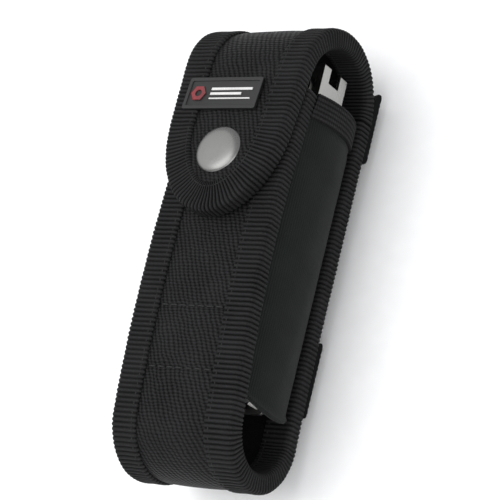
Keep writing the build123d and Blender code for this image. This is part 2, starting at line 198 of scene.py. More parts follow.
def volume(mesh):
    """Signed volume: the sum over triangles of a . (b x c) / 6."""
    mesh.calc_loop_triangles()
    tri = np.zeros(len(mesh.loop_triangles) * 3, np.int32)
    mesh.loop_triangles.foreach_get("vertices", tri)
    co = np.zeros(len(mesh.vertices) * 3)
    mesh.vertices.foreach_get("co", co)
    a, b, c = co.reshape(-1, 3)[tri.reshape(-1, 3)].transpose(1, 0, 2)
    return float(np.einsum("ij,ij->i", a, np.cross(b, c)).sum() / 6)


def linked(name, mesh):
    obj = bpy.data.objects.new(name, mesh)
    bpy.context.scene.collection.objects.link(obj)
    return obj


def surface(name, grid, flat, ring=False, smooth=42.0):
    """Closed piece from a grid of points in sheath millimetres.

    Row i, column j is joined to its neighbours; the last column joins the first.  With ring the
    last row joins the first too, otherwise one face closes each end.  flat gives each point's
    place on the unrolled cloth in millimetres, with one column more than the grid, and becomes
    the UV map.
    """
    n, m = grid.shape[:2]
    rows = n if ring else n - 1
    i, j = np.meshgrid(np.arange(rows), np.arange(m), indexing="ij")
    i2, j2 = (i + 1) % n, (j + 1) % m
    quads = np.stack([i * m + j, i2 * m + j, i2 * m + j2, i * m + j2], -1).reshape(-1, 4)
    ends = [] if ring else [list(range(m)), list(range((n - 1) * m, n * m))[::-1]]
    mesh = bpy.data.meshes.new(name)
    mesh.from_pydata(settled(grid).reshape(-1, 3).tolist(), [], quads.tolist() + ends)
    i2 = np.minimum(i + 1, n - 1)
    uv = np.stack([flat[i, j], flat[i2, j], flat[i2, j + 1], flat[i, j + 1]], -2).reshape(-1, 2)
    if not ring:
        uv = np.concatenate([uv, flat[0, :m], flat[n - 1, :m][::-1]])
    mesh.uv_layers.new(name="cloth").data.foreach_set("uv", uv.ravel())
    if volume(mesh) < 0:
        mesh.flip_normals()
    obj = linked(name, mesh)
    shade(obj, smooth)
    return obj


def clumps(name, verts, faces):
    """Many small equal pieces in one mesh: verts is (count, points, 3), faces one piece's faces."""
    count, points = verts.shape[:2]
    flat = []
    for face in faces:
        flat.append((np.arange(count)[:, None] * points + np.array(face)).tolist())
    mesh = bpy.data.meshes.new(name)
    mesh.from_pydata(settled(verts).reshape(-1, 3).tolist(), [], [f for group in flat for f in group])
    if volume(mesh) < 0:
        mesh.flip_normals()
    obj = linked(name, mesh)
    shade(obj, 60)
    return obj


def stitch_run(name, centres, along, out, length, radius):
    """Lock stitches: each is a short thread, radius times the fourth root of (1 - t^4) round a
    centre line that dips by 1.1 radius times t^2 away from its middle, t from -1 to 1."""
    along = along / np.linalg.norm(along, axis=-1, keepdims=True)
    side = np.cross(out, along)
    t = np.array([-0.98, -0.72, -0.25, 0.25, 0.72, 0.98])
    a = np.arange(6) * pi / 3
    r = radius * (1 - t ** 4) ** 0.25
    dip = -radius * 1.1 * t ** 2
    p = (centres[:, None, None] + along[:, None, None] * (t * length / 2)[None, :, None, None]
         + side[:, None, None] * (r[:, None] * np.cos(a))[None, :, :, None]
         + out[:, None, None] * (dip[:, None] + r[:, None] * np.sin(a))[None, :, :, None])
    faces = [[i * 6 + j, i * 6 + (j + 1) % 6, (i + 1) * 6 + (j + 1) % 6, (i + 1) * 6 + j]
             for i in range(5) for j in range(6)]
    faces += [list(range(6))[::-1], list(range(30, 36))]
    return clumps(name, p.reshape(len(centres), 36, 3), faces)


def wobble(u, v, size, seed=0.0):
    """Slow unevenness between -1 and 1: the mean of four sines of slanted directions."""
    u, v = u / size, v / size
    return 0.25 * (np.sin(1.3 * u + 0.7 * v + seed) + np.sin(-0.8 * u + 1.7 * v + 2.1 + seed)
                   + np.sin(2.3 * u + 0.4 * v + 4.0 + 2 * seed) + np.sin(0.5 * u - 2.6 * v + 1.0 + seed))


def padded_panel(name, run, s, half, inner, puff, rows=()):
    """Foam panel with its face cloth.

    Across the width the outer face is puff times (1 - (x / 11.5)^4), so it swells between the
    tapes and lies flat under them, less a dip of 0.5 mm times exp(-((s - row) / 1.1)^2) at
    each sewn row and a slow unevenness; the inner face is the same section moved in by inner.
    """
    v = np.linspace(-1, 1, 49)
    x_out = half[:, None] * v
    x_in = x_out[:, ::-1]
    x = np.concatenate([x_out, x_in], 1)
    s2 = np.repeat(s[:, None], x.shape[1], 1)
    rise = puff * np.clip(1 - (x_out / 11.5) ** 4, -0.12, 1)
    ends = np.clip(np.minimum(s - s[0], s[-1] - s)[:, None] / 9.0, 0, 1)
    rise = rise * (0.35 + 0.65 * ends * (2 - ends)) + 0.10 * wobble(x_out, s[:, None], 5.0)
    for row in rows:
        near = np.clip((12.2 - np.abs(x_out)) / 1.5, 0, 1)
        rise = rise - 0.5 * near * np.exp(-((s[:, None] - row) / 1.1) ** 2)
    fall = np.full(x_in.shape, -inner)
    h = np.concatenate([rise, fall], 1)
    grid = on_run(run, x, s2, h)
    flat = np.stack([np.concatenate([x, x[:, :1]], 1), np.concatenate([s2, s2[:, :1]], 1)], -1)
    return surface(name, grid, flat)


def thin_panel(name, run, s, half, near, far):
    """Flat cloth between two depths under a section: the rectangle (x, near) to (x, far)."""
    v = np.linspace(-1, 1, 25)
    x = np.concatenate([half[:, None] * v, half[:, None] * v[::-1]], 1)
    h = np.concatenate([np.full((len(s), 25), -near), np.full((len(s), 25), -far)], 1)
    s2 = np.repeat(s[:, None], 50, 1)
    grid = on_run(run, x, s2, h)
    flat = np.stack([np.concatenate([x, x[:, :1]], 1), np.concatenate([s2, s2[:, :1]], 1)], -1)
    return surface(name, grid, flat)


def tongue(s):
    """Half width of the flap at length s: constant, then the ellipse sqrt(1 - t^2) at the end."""
    total = run_length(FLAP_RUN)
    t = np.clip((s - (total - FLAP_ROUND)) / FLAP_ROUND, 0, 1)
    return HALF_WIDTH * np.sqrt(np.clip(1 - t ** 2, 0, 1))


def tape_section(leg):
    """Folded tape: (inset from the bound edge, height over the face), outer legs first.

    The outside has corners rounded on quarter circles of 1.3 mm, and each leg ends in a small
    rounded selvedge.
    """
    q = np.radians(np.linspace(90, 180, 7))
    top, low, r = TAPE, -PANEL - TAPE, 1.3
    over = [(leg, 0.02), (leg + 0.05, 0.3), (leg - 0.12, 0.62)]
    over += [(a, top + 0.05 * sin((leg - a) * 1.1)) for a in np.linspace(leg - 0.5, r + 0.4, 6)]
    over += list(zip(r + r * np.cos(q), top - r + r * np.sin(q)))
    under = [(0.0, -PANEL / 2)] + list(zip(r + r * np.cos(q[::-1]), low + r - r * np.sin(q[::-1])))
    under += [(a, low) for a in np.linspace(r + 0.4, leg - 0.5, 6)]
    under += [(leg - 0.12, low + 0.08), (leg + 0.05, low + 0.4), (leg, -PANEL - 0.02)]
    inside = [(MARGIN + 0.1, -PANEL + 0.01), (MARGIN + 0.1, -0.01)]
    points = np.array(over + under + inside)
    ribbed = np.array([1.0] * (len(over) + len(under)) + [0.0] * 2)
    return points, ribbed


def bound_edge(name, run, outline, leg, pitch, depth):
    """Ribbed tape folded over an edge.

    outline is the bound edge as points (x, s) on the unrolled strip.  It is resampled evenly by
    length d; at each d the folded section is laid off along the inward normal (the tangent turned
    a quarter) and the surface normal, and the outside is lifted by depth times
    (|sin(pi d/pitch)|^0.7 - 0.4), with a slow unevenness.
    """
    seg = np.linalg.norm(np.diff(outline, axis=0), axis=1)
    d0 = np.concatenate([[0], np.cumsum(seg)])
    d = np.linspace(0, d0[-1], int(d0[-1] / pitch * 6))
    x, s = np.interp(d, d0, outline[:, 0]), np.interp(d, d0, outline[:, 1])
    soft = max(3, int(1.2 / pitch * 6))
    kernel = np.ones(soft) / soft
    tx, ts = (np.convolve(np.pad(np.gradient(c, d), soft // 2, "edge"), kernel, "same")
              [soft // 2:soft // 2 + len(d)] for c in (x, s))
    size = np.hypot(tx, ts)
    nx, ns = ts / size, -tx / size
    points, ribbed = tape_section(leg)
    lean = np.roll(points, -1, 0) - np.roll(points, 1, 0)
    lean /= np.linalg.norm(lean, axis=1, keepdims=True)
    lean = np.stack([-lean[:, 1], lean[:, 0]], -1)
    sign = np.sign(((points - points.mean(0)) * lean).sum())
    rib = depth * (np.abs(np.sin(pi * d / pitch)) ** 0.7 - 0.4)
    rib = rib * (1 + 0.35 * wobble(d, 0 * d, 3.0))
    a = points[:, 0] + sign * lean[:, 0] * ribbed * rib[:, None]
    h = points[:, 1] + sign * lean[:, 1] * ribbed * rib[:, None]
    grid = on_run(run, x[:, None] + nx[:, None] * a, s[:, None] + ns[:, None] * a, h)
    around = np.concatenate([[0], np.cumsum(np.linalg.norm(np.diff(points, axis=0), axis=1))])
    around = np.append(around, around[-1] + 1.0)
    flat = np.stack(np.broadcast_arrays(around[None, :], d[:, None]), -1)
    return surface(name, grid, flat)


def seam_along(name, run, outline, inset, pitch, length, radius, heights):
    """Stitches laid on the unrolled outline at a given inset, on one or both faces."""
    seg = np.linalg.norm(np.diff(outline, axis=0), axis=1)
    d0 = np.concatenate([[0], np.cumsum(seg)])
    d = np.arange(1.6, d0[-1] - 1.2, pitch)
    x, s = np.interp(d, d0, outline[:, 0]), np.interp(d, d0, outline[:, 1])
    e = 0.4
    tx = (np.interp(d + e, d0, outline[:, 0]) - np.interp(d - e, d0, outline[:, 0])) / (2 * e)
    ts = (np.interp(d + e, d0, outline[:, 1]) - np.interp(d - e, d0, outline[:, 1])) / (2 * e)
    size = np.hypot(tx, ts)
    nx, ns = ts / size, -tx / size
    x, s = x + nx * inset, s + ns * inset
    centres, along, out = [], [], []
    for h in heights:
        p = trace(run, s)
        normal = np.stack([0 * s, p[:, 2], p[:, 3]], -1) * (1 if h > 0 else -1)
        tangent = np.stack([tx, -ts * p[:, 3], ts * p[:, 2]], -1)
        centres.append(on_run(run, x, s, np.full(len(s), h)))
        along.append(tangent)
        out.append(normal)
    return stitch_run(name, np.concatenate(centres), np.concatenate(along), np.concatenate(out),
                      length, radius)


def straight_outline(side, s0, s1):
    """Edge at one side; it runs so that the tangent turned a quarter clockwise points inwards."""
    ends = [(side * HALF_WIDTH, s0), (side * HALF_WIDTH, s1)]
    s = np.linspace(0, 1, 200)[:, None]
    ends = ends[::-1] if side > 0 else ends
    return np.array(ends[0]) + s * (np.array(ends[1]) - np.array(ends[0]))


def tongue_outline(s0):
    """Flap edge: up one side, the half ellipse (a sin t, b cos t) round the end, and back."""
    centre = run_length(FLAP_RUN) - FLAP_ROUND
    t = np.linspace(-pi / 2, pi / 2, 400)
    arc = np.stack([HALF_WIDTH * np.sin(t), centre + FLAP_ROUND * np.cos(t)], -1)
    line = np.linspace(s0, centre, 120, endpoint=False)
    left = np.stack([-HALF_WIDTH + 0 * line, line], -1)
    return np.concatenate([left, arc, (left * (-1, 1))[::-1]])


def webbing(name, run, width, pitch, centre, across):
    """Flat webbing carried along a section: a rounded slab 1.8 mm thick.

    Its faces are lifted by 0.09 mm times the sine of 2 pi (s + zigzag) / pitch, where the zigzag
    is a triangle wave across the width, which gives the herringbone rows.
    """
    size = run_length(run)
    s = np.linspace(0, size, int(size / pitch * 6))
    half = width / 2
    q = np.radians(np.linspace(90, -90, 5))
    b = np.linspace(-half + 0.7, half - 0.7, 45)
    side = np.stack([half - 0.7 + 0.7 * np.cos(q), (WEB / 2) * np.sin(q)], -1)
    section = np.concatenate([np.stack([b, 0 * b + WEB / 2], -1), side,
                              np.stack([b[::-1], 0 * b - WEB / 2], -1), side * (-1, -1)])
    keep = np.concatenate([[True], np.linalg.norm(np.diff(section, axis=0), axis=1) > 1e-6])
    section = section[keep]
    zigzag = 1.9 * np.abs(((section[:, 0] / 1.9) % 2) - 1)
    wave = np.sin(2 * pi * (s[:, None] + zigzag) / pitch)
    height = section[:, 1] + np.sign(section[:, 1]) * 0.09 * wave * (np.abs(section[:, 1]) > WEB * 0.4)
    p = trace(run, s)
    depth = p[:, 1][:, None] + p[:, 3][:, None] * height
    length = p[:, 0][:, None] + p[:, 2][:, None] * height
    wide = np.broadcast_to(section[:, 0] + centre, depth.shape)
    grid = np.stack([length, wide, depth] if across else [wide, length, depth], -1)
    around = np.concatenate([[0], np.cumsum(np.linalg.norm(np.diff(section, axis=0), axis=1))])
    flat = np.stack(np.broadcast_arrays(np.append(around, around[-1] + 0.4)[None, :], s[:, None]), -1)
    return surface(name, grid, flat)


def side_wall(name, side, low, high, shell, skin, ribs=0.0, roll=0.0):
    """Bulging side: part of a cylinder of radius shell about a line behind it.

    At height y the angle runs between the arc sines of the distances to the back and front
    panels over the radius.  The bottom edge rises by 3.2 mm times t^2 towards both panels, and the
    wall thickens there by roll times exp(-(y - edge)^2 / 0.5).  ribs lifts the face by that much
    times |sin| of the arc length.
    """
    centre = GUSSET_BULGE - GUSSET_RADIUS
    t = np.linspace(-1, 1, 121 if not ribs else 181)
    row = np.linspace(0, 1, 140 if not ribs else 24)
    y = low + (high - low) * row[:, None] + (0.0 if ribs else 3.2) * t ** 2 * (1 - row[:, None]) ** 2
    z_top = BOW_Z + np.sqrt((BOW - PANEL - 0.3) ** 2 - (y - BOW_Y) ** 2)
    a0, a1 = np.arcsin((PANEL + 0.3 - TOOL_Z) / shell), np.arcsin((z_top - TOOL_Z) / shell)
    a = (a0 + a1) / 2 + (a1 - a0) / 2 * t
    arc = shell * a
    lift = ribs * np.abs(np.sin(pi * arc / 0.9)) + 0.16 * wobble(arc, y, 4.0, 1.0) * (1 - t ** 2)
    lift = lift - 0.25 * np.exp(-((y - high + 8.5) / 1.2) ** 2) * (0 if ribs else 1)
    swell = roll * np.exp(-((y - low - 0.7 - 3.2 * t ** 2) ** 2) / 0.5)
    edge = np.sqrt(np.clip(1 - (2 * row[:, None] - 1) ** 60, 0.15, 1))
    outer, inner = shell + lift + swell + skin[1] * edge, shell + lift - swell * 0.6 - skin[0] * edge

    def at(r):
        return np.stack([side * (centre + r * np.cos(a)), y, TOOL_Z + r * np.sin(a)], -1)
    grid = np.concatenate([at(outer), at(inner)[:, ::-1]], 1)
    arc2 = np.concatenate([arc, arc[:, ::-1], arc[:, :1]], 1)
    y2 = np.concatenate([y, y[:, ::-1], y[:, :1]], 1)
    obj = surface(name, grid, np.stack([arc2, y2], -1))
    return obj, float((arc[:, -1] - arc[:, 0]).mean()), float((y[-1] - y[0]).mean())


def turned(name, profile, origin, normal, count=96):
    """Profile (radius, height) turned round the normal: r cos a, r sin a across it, h along it."""
    across = np.array([1.0, 0, 0])
    other = np.cross(normal, across)
    a = np.linspace(0, 2 * pi, count, endpoint=False)
    r, h = profile[:, 0], profile[:, 1]
    grid = (origin + (r[:, None] * np.cos(a))[..., None] * across
            + (r[:, None] * np.sin(a))[..., None] * other + h[:, None, None] * normal)
    place = np.append(a, 2 * pi) * 7
    down = np.cumsum(np.hypot(np.gradient(r), np.gradient(h)))
    flat = np.stack(np.broadcast_arrays(place[None, :], down[:, None]), -1)
    return surface(name, grid, flat, smooth=50)


def eased_copy(node, width, material, segments=2, angle=32.0):
    """A merged copy of a CAD node with its sharp edges eased by a bevel; it replaces the node."""
    source = frame["nodes"][node]
    mesh = source.data.copy()
    mesh.materials.clear()
    work = bmesh.new()
    work.from_mesh(mesh)
    bmesh.ops.remove_doubles(work, verts=work.verts, dist=2e-6)
    bmesh.ops.dissolve_degenerate(work, dist=1e-6, edges=work.edges)
    bmesh.ops.dissolve_limit(work, angle_limit=radians(0.6), verts=work.verts, edges=work.edges)
    work.to_mesh(mesh)
    work.free()
    obj = linked(node + "_finished", mesh)
    mod = obj.modifiers.new("eased edges", "BEVEL")
    mod.width, mod.segments = width * 0.001, segments
    mod.limit_method, mod.angle_limit = "ANGLE", radians(angle)
    mod.harden_normals, mod.use_clamp_overlap, mod.miter_outer = True, True, "MITER_ARC"
    shade(obj, angle)
    obj.data.materials.append(material)
    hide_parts(node)
    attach(obj, source["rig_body"])
    return obj


# ------------------------------------------------------------------ materials

def linear(code):
    """sRGB hex to linear red, green, blue."""
    c = np.array([int(code[k:k + 2], 16) for k in (1, 3, 5)]) / 255
    return tuple(np.where(c <= 0.04045, c / 12.92, ((c + 0.055) / 1.055) ** 2.4))


def add(tree, kind, **values):
    """One node.  A name that the node has as a setting is set; other names are inputs (i0, i1 by
    number), given a value or a socket to link from."""
    node = tree.nodes.new(kind)
    for key, value in values.items():
        if hasattr(node, key):
            setattr(node, key, value)
            continue
        numbered = key[0] == "i" and key[1:].isdigit()
        socket = node.inputs[int(key[1:]) if numbered else key.replace("_", " ")]
        if isinstance(value, bpy.types.NodeSocket):
            tree.links.new(value, socket)
        else:
            socket.default_value = value
    return node


def blank(name):
    """Empty material with a principled surface."""
    mat = bpy.data.materials.new(name)
    mat.use_nodes = True
    tree = mat.node_tree
    tree.nodes.clear()
    bsdf = add(tree, "ShaderNodeBsdfPrincipled")
    add(tree, "ShaderNodeOutputMaterial", Surface=bsdf.outputs[0])
    return mat, tree, bsdf


def shades(tree, bsdf, dark, light, factor):
    """Colour from one shade to another by a factor."""
    mix = add(tree, "ShaderNodeMix", data_type="RGBA", i0=factor)
    mix.inputs[6].default_value = (*dark, 1)
    mix.inputs[7].default_value = (*light, 1)
    tree.links.new(mix.outputs[2], bsdf.inputs["Base Color"])


def crests(tree, coordinate, pitch, power=1.0):
    """Rounded thread backs across a coordinate: |sin(pi c / pitch)| raised to a power."""
    turn = add(tree, "ShaderNodeMath", operation="MULTIPLY", i0=coordinate, i1=pi / pitch)
    wave = add(tree, "ShaderNodeMath", operation="SINE", i0=turn.outputs[0])
    back = add(tree, "ShaderNodeMath", operation="ABSOLUTE", i0=wave.outputs[0])
    return add(tree, "ShaderNodeMath", operation="POWER", i0=back.outputs[0], i1=power).outputs[0]


def cloth(name, dark, light, pitch, rough, bump, sheen, kind, drift=0.5):
    """Woven cloth on the unrolled millimetres of the UV map, with painted shade in the valleys between the
    yarns and a painted highlight on their crests.
    """
    mat, tree, bsdf = blank(name)
    place = add(tree, "ShaderNodeUVMap", uv_map="cloth")
    sway = add(tree, "ShaderNodeTexNoise", Vector=place.outputs[0], Scale=0.35 / pitch, Detail=2.0)
    shift = add(tree, "ShaderNodeVectorMath", operation="MULTIPLY_ADD", i0=sway.outputs["Color"],
                i1=(drift * pitch,) * 3, i2=place.outputs[0])
    axes = add(tree, "ShaderNodeSeparateXYZ", Vector=shift.outputs[0])
    if kind == "twill":
        slant = add(tree, "ShaderNodeMath", operation="MULTIPLY_ADD", i0=axes.outputs[1], i1=-0.45,
                    i2=axes.outputs[0])
        wale = crests(tree, slant.outputs[0], pitch, 1.3)
        pick = crests(tree, axes.outputs[1], pitch * 0.62, 1.2)
        share = add(tree, "ShaderNodeMath", operation="MULTIPLY", i0=pick, i1=0.42)
        height = add(tree, "ShaderNodeMath", operation="MULTIPLY_ADD", i0=wale, i1=0.58,
                     i2=share.outputs[0]).outputs[0]
    elif kind == "basket":
        warp, weft = crests(tree, axes.outputs[0], pitch, 0.7), crests(tree, axes.outputs[1], pitch, 0.7)
        cell = add(tree, "ShaderNodeVectorMath", operation="SCALE", i0=shift.outputs[0], Scale=1 / pitch)
        over = add(tree, "ShaderNodeTexChecker", Vector=cell.outputs[0], Scale=1.0)
        pick = add(tree, "ShaderNodeMix", data_type="FLOAT", i0=over.outputs["Fac"], i2=warp, i3=weft)
        round_off = add(tree, "ShaderNodeMath", operation="MULTIPLY", i0=warp, i1=weft)
        height = add(tree, "ShaderNodeMath", operation="MULTIPLY_ADD", i0=round_off.outputs[0], i1=0.8,
                     i2=pick.outputs[0]).outputs[0]
        height = add(tree, "ShaderNodeMath", operation="MULTIPLY", i0=height, i1=0.56).outputs[0]
    elif kind == "ribs":
        fine = crests(tree, axes.outputs[0], min(pitch * 0.45, 0.35), 0.8)
        cross = crests(tree, axes.outputs[1], pitch, 1.2)
        height = add(tree, "ShaderNodeMath", operation="MULTIPLY_ADD", i0=fine, i1=0.45, i2=cross).outputs[0]
        height = add(tree, "ShaderNodeMath", operation="MULTIPLY", i0=height, i1=0.69).outputs[0]
    else:
        wale = crests(tree, axes.outputs[0], pitch, 0.6)
        course = crests(tree, axes.outputs[1], pitch * 0.6, 1.0)
        height = add(tree, "ShaderNodeMath", operation="MULTIPLY_ADD", i0=course, i1=0.5, i2=wale).outputs[0]
        height = add(tree, "ShaderNodeMath", operation="MULTIPLY", i0=height, i1=0.66).outputs[0]
    fuzz = add(tree, "ShaderNodeTexNoise", Vector=place.outputs[0], Scale=3.0 / pitch, Detail=3.0,
               Roughness=0.7)
    patchy = add(tree, "ShaderNodeTexNoise", Vector=place.outputs[0], Scale=0.09, Detail=3.0)
    # Painted shade and highlight: the colour runs from the dark shade in the valleys to the light shade on
    # the crests by the relief height, plus random patches.
    painted_shade_and_patches = add(tree, "ShaderNodeMath", operation="MULTIPLY", i0=height, i1=fuzz.outputs[0])
    painted_shade_and_patches = add(tree, "ShaderNodeMath", operation="MULTIPLY_ADD", i0=painted_shade_and_patches.outputs[0], i1=1.5, i2=-0.22)
    painted_shade_and_patches = add(tree, "ShaderNodeMath", operation="MULTIPLY_ADD", use_clamp=True, i0=patchy.outputs[0], i1=0.4,
               i2=painted_shade_and_patches.outputs[0])
    shades(tree, bsdf, dark, light, painted_shade_and_patches.outputs[0])
    level = add(tree, "ShaderNodeMath", operation="MULTIPLY_ADD", i0=fuzz.outputs[0], i1=0.25, i2=height)
    relief = add(tree, "ShaderNodeBump", Strength=0.85, Distance=bump * 0.001, Height=level.outputs[0])
    tree.links.new(relief.outputs[0], bsdf.inputs["Normal"])
    gloss = add(tree, "ShaderNodeMapRange", Value=height, To_Min=min(rough + 0.2, 1.0), To_Max=rough)
    tree.links.new(gloss.outputs[0], bsdf.inputs["Roughness"])
    bsdf.inputs["IOR"].default_value = 1.5
    bsdf.inputs["Sheen Weight"].default_value = sheen
    bsdf.inputs["Sheen Roughness"].default_value = 0.4
    bsdf.inputs["Specular IOR Level"].default_value = 0.05
    return mat


def metal(name, colour, rough, grain, spots, along=(1.0, 1.0, 1.0), relief=0.004):
    """Metal whose roughness and colour vary with a fine stretched noise and with slow smudges."""
    mat, tree, bsdf = blank(name)
    place = add(tree, "ShaderNodeTexCoord")
    stretch = add(tree, "ShaderNodeVectorMath", operation="MULTIPLY", i0=place.outputs["Object"], i1=along)
    fine = add(tree, "ShaderNodeTexNoise", Vector=stretch.outputs[0], Scale=1000 / grain, Detail=4.0,
               Roughness=0.65)
    slow = add(tree, "ShaderNodeTexNoise", Vector=place.outputs["Object"], Scale=1000 / spots, Detail=3.0)
    both = add(tree, "ShaderNodeMath", operation="MULTIPLY_ADD", i0=slow.outputs[0], i1=0.8,
               i2=fine.outputs[0])
    gloss = add(tree, "ShaderNodeMapRange", Value=both.outputs[0], From_Min=0.55, From_Max=1.25,
                To_Min=max(rough - 0.08, 0.05), To_Max=rough + 0.12)
    tree.links.new(gloss.outputs[0], bsdf.inputs["Roughness"])
    shades(tree, bsdf, tuple(c * 0.86 for c in colour), colour,
           add(tree, "ShaderNodeMapRange", Value=both.outputs[0], From_Min=0.5, From_Max=1.2).outputs[0])
    bump = add(tree, "ShaderNodeBump", Strength=0.5, Distance=relief * 0.001, Height=fine.outputs[0])
    tree.links.new(bump.outputs[0], bsdf.inputs["Normal"])
    bsdf.inputs["Metallic"].default_value = 1.0
    return mat


def moulded(name, dark, light, rough, grit, relief):
    """Moulded or spun surface with fine grit in its bump and shade."""
    mat, tree, bsdf = blank(name)
    place = add(tree, "ShaderNodeTexCoord")
    fine = add(tree, "ShaderNodeTexNoise", Vector=place.outputs["Object"], Scale=1000 / grit, Detail=4.0)
    slow = add(tree, "ShaderNodeTexNoise", Vector=place.outputs["Object"], Scale=120.0, Detail=2.0)
    both = add(tree, "ShaderNodeMath", operation="MULTIPLY", i0=fine.outputs[0], i1=slow.outputs[0])
    shades(tree, bsdf, dark, light,
           add(tree, "ShaderNodeMapRange", Value=both.outputs[0], From_Min=0.1, From_Max=0.45).outputs[0])
    gloss = add(tree, "ShaderNodeMapRange", Value=slow.outputs[0], To_Min=rough - 0.08, To_Max=rough + 0.1)
    tree.links.new(gloss.outputs[0], bsdf.inputs["Roughness"])
    bump = add(tree, "ShaderNodeBump", Strength=0.6, Distance=relief * 0.001, Height=fine.outputs[0])
    tree.links.new(bump.outputs[0], bsdf.inputs["Normal"])
    return mat


class SheathSizes(bpy.types.PropertyGroup):
    """Sizes of the sheath's finer parts."""
    rib_pitch: bpy.props.FloatProperty(name="Tape ribs", description="Spacing of the binding tape's ribs",
                                       default=0.0014, unit="LENGTH")
    rib_depth: bpy.props.FloatProperty(name="Rib depth", description="Height of a rib over its valleys",
                                       default=0.00046, unit="LENGTH")
    weave: bpy.props.FloatProperty(name="Weave", description="Wale spacing of the face cloth",
                                   default=0.00155, unit="LENGTH")
    web_ribs: bpy.props.FloatProperty(name="Webbing rows", description="Spacing of the webbing's rows",
                                      default=0.0015, unit="LENGTH")
    knit: bpy.props.FloatProperty(name="Knit", description="Wale spacing of the elastic sides",
                                  default=0.0008, unit="LENGTH")
    stitch: bpy.props.FloatProperty(name="Stitch spacing", description="From one seam stitch to the next",
                                    default=0.0026, unit="LENGTH")
    thread: bpy.props.FloatProperty(name="Thread", description="Diameter of the sewing thread",
                                    default=0.00034, unit="LENGTH")
    puff: bpy.props.FloatProperty(name="Padding rise", description="How far the padded panels swell",
                                  default=0.0006, unit="LENGTH")
    ease: bpy.props.FloatProperty(name="Eased edges", description="Rounding of the steel edges",
                                  default=0.00025, unit="LENGTH")


class SheathColours(bpy.types.PropertyGroup):
    """Colours of the cloths, the metals and the floor."""
    # The cloth colours below are the lit crest colours; cloth() paints the valleys between the yarns far
    # darker as shade.
    face: bpy.props.FloatVectorProperty(name="Face cloth", description="Raised yarns of the face cloth",
                                        default=linear("#2d2d2e"), subtype="COLOR")
    binding: bpy.props.FloatVectorProperty(name="Tape", description="Rib crests of the binding tape",
                                           default=linear("#2f2f30"), subtype="COLOR")
    sides: bpy.props.FloatVectorProperty(name="Elastic sides", description="Knit of the side walls",
                                         default=linear("#242625"), subtype="COLOR")
    web: bpy.props.FloatVectorProperty(name="Webbing", description="Belt webbing",
                                       default=linear("#161617"), subtype="COLOR")
    steel: bpy.props.FloatVectorProperty(name="Steel", description="Handles and blades",
                                         default=linear("#a6a6a3"), subtype="COLOR")
    stud: bpy.props.FloatVectorProperty(name="Press stud", description="Nickel plating",
                                        default=linear("#80807e"), subtype="COLOR")
    floor: bpy.props.FloatVectorProperty(name="Floor", description="Studio floor",
                                         default=linear("#fafafa"), subtype="COLOR")


def sizes():
    return bpy.context.scene.sheath_sizes


def colours():
    return bpy.context.scene.sheath_colours


def dim(colour, share):
    return tuple(c * share for c in colour)


def ballistic_nylon():
    # Coated ballistic nylon: thick yarns in a steep twill, so its gleam breaks into slanted dashes; the gleam
    # is partly gloss and partly a painted highlight on the crests, over painted shade in the valleys at 5 %
    # of the crest colour.
    # Real wales are 0.9 mm apart; they are drawn at 1.55 mm so that they show.
    c = colours().face
    return cloth("ballistic nylon, twill woven", dim(c, 0.05), tuple(c), sizes().weave * 1000,
                 0.45, 0.4, 0.01, "twill", 0.9)


def grosgrain():
    # Grosgrain tape: fine warps over thick wefts, matt with a soft gleam on each rib, partly gloss and partly
    # a painted highlight on the rib crests, with painted shade between the ribs.
    c = colours().binding
    return cloth("grosgrain tape, ribbed", dim(c, 0.04), tuple(c), sizes().rib_pitch * 1000,
                 0.55, 0.16, 0.005, "ribs", 0.0)


def knit():
    # Elastic knit, brushed: soft and matt, greyer than the tape, with painted shade in the hollows between
    # wales and courses.
    c = colours().sides
    return cloth("elastic knit, spandex and nylon", dim(c, 0.2), tuple(c), sizes().knit * 1000,
                 0.66, 0.12, 0.05, "knit")


def lining_cloth():
    # Thin plain-woven lining, matt and darker than the face, with painted shade between the yarns.
    return cloth("nylon lining, plain woven", linear("#060606"), linear("#161617"), 0.5,
                 0.6, 0.06, 0.02, "basket")


def belt_cloth():
    # Nylon webbing, shuttle woven: smooth yarns with a low gleam along the rows, partly gloss and partly a
    # painted highlight on the row crests, with painted shade between the rows.
    c = colours().web
    return cloth("nylon webbing, herringbone woven", dim(c, 0.25), tuple(c), 0.5, 0.48, 0.05, 0.02, "ribs")


def thread_stuff():
    # Bonded polyester thread: slightly glossy twisted strand.
    return moulded("bonded thread, twisted", linear("#030303"), linear("#0d0d0e"), 0.7, 0.15, 0.02)


def nickel():
    # Satin nickel plating, turned: broad soft highlights.
    return metal("nickel plate, satin turned", tuple(colours().stud), 0.3, 0.35, 6.0)


def stainless():
    # Stainless sheet, belt-brushed along the handles: long streaks in the highlight.
    return metal("stainless steel, brushed", tuple(colours().steel), 0.3, 0.3, 9.0, (1.0, 0.06, 1.0), 0.006)


def ground_steel():
    # Blade steel, surface-ground across the blade: bright with fine cross lines.
    return metal("blade steel, ground", linear("#a2a3a3"), 0.25, 0.22, 8.0, (0.08, 1.0, 1.0), 0.006)


def blasted_steel():
    # Plier head, bead-blasted and oiled: dark even satin.
    return metal("tool steel, bead blasted", linear("#56575a"), 0.42, 0.16, 5.0, (1.0, 1.0, 1.0), 0.012)


def anodised():
    # Anodised aluminium, black dyed: satin, slightly worn lighter.
    return metal("aluminium, black anodised", linear("#232325"), 0.4, 0.12, 7.0, (1.0, 1.0, 1.0), 0.008)


def rubber():
    # Soft PVC badge, injection moulded: even satin black.
    return moulded("soft PVC, moulded", linear("#080809"), linear("#161617"), 0.5, 0.25, 0.02)


def light_ink():
    # Raised light grey fill in the badge.
    return moulded("PVC fill, light grey", linear("#b9b9b8"), linear("#dededc"), 0.45, 0.3, 0.015)


def red_ink():
    # The same fill in a deep red.
    return moulded("PVC fill, deep red", linear("#5c1018"), linear("#8e1d27"), 0.45, 0.3, 0.015)


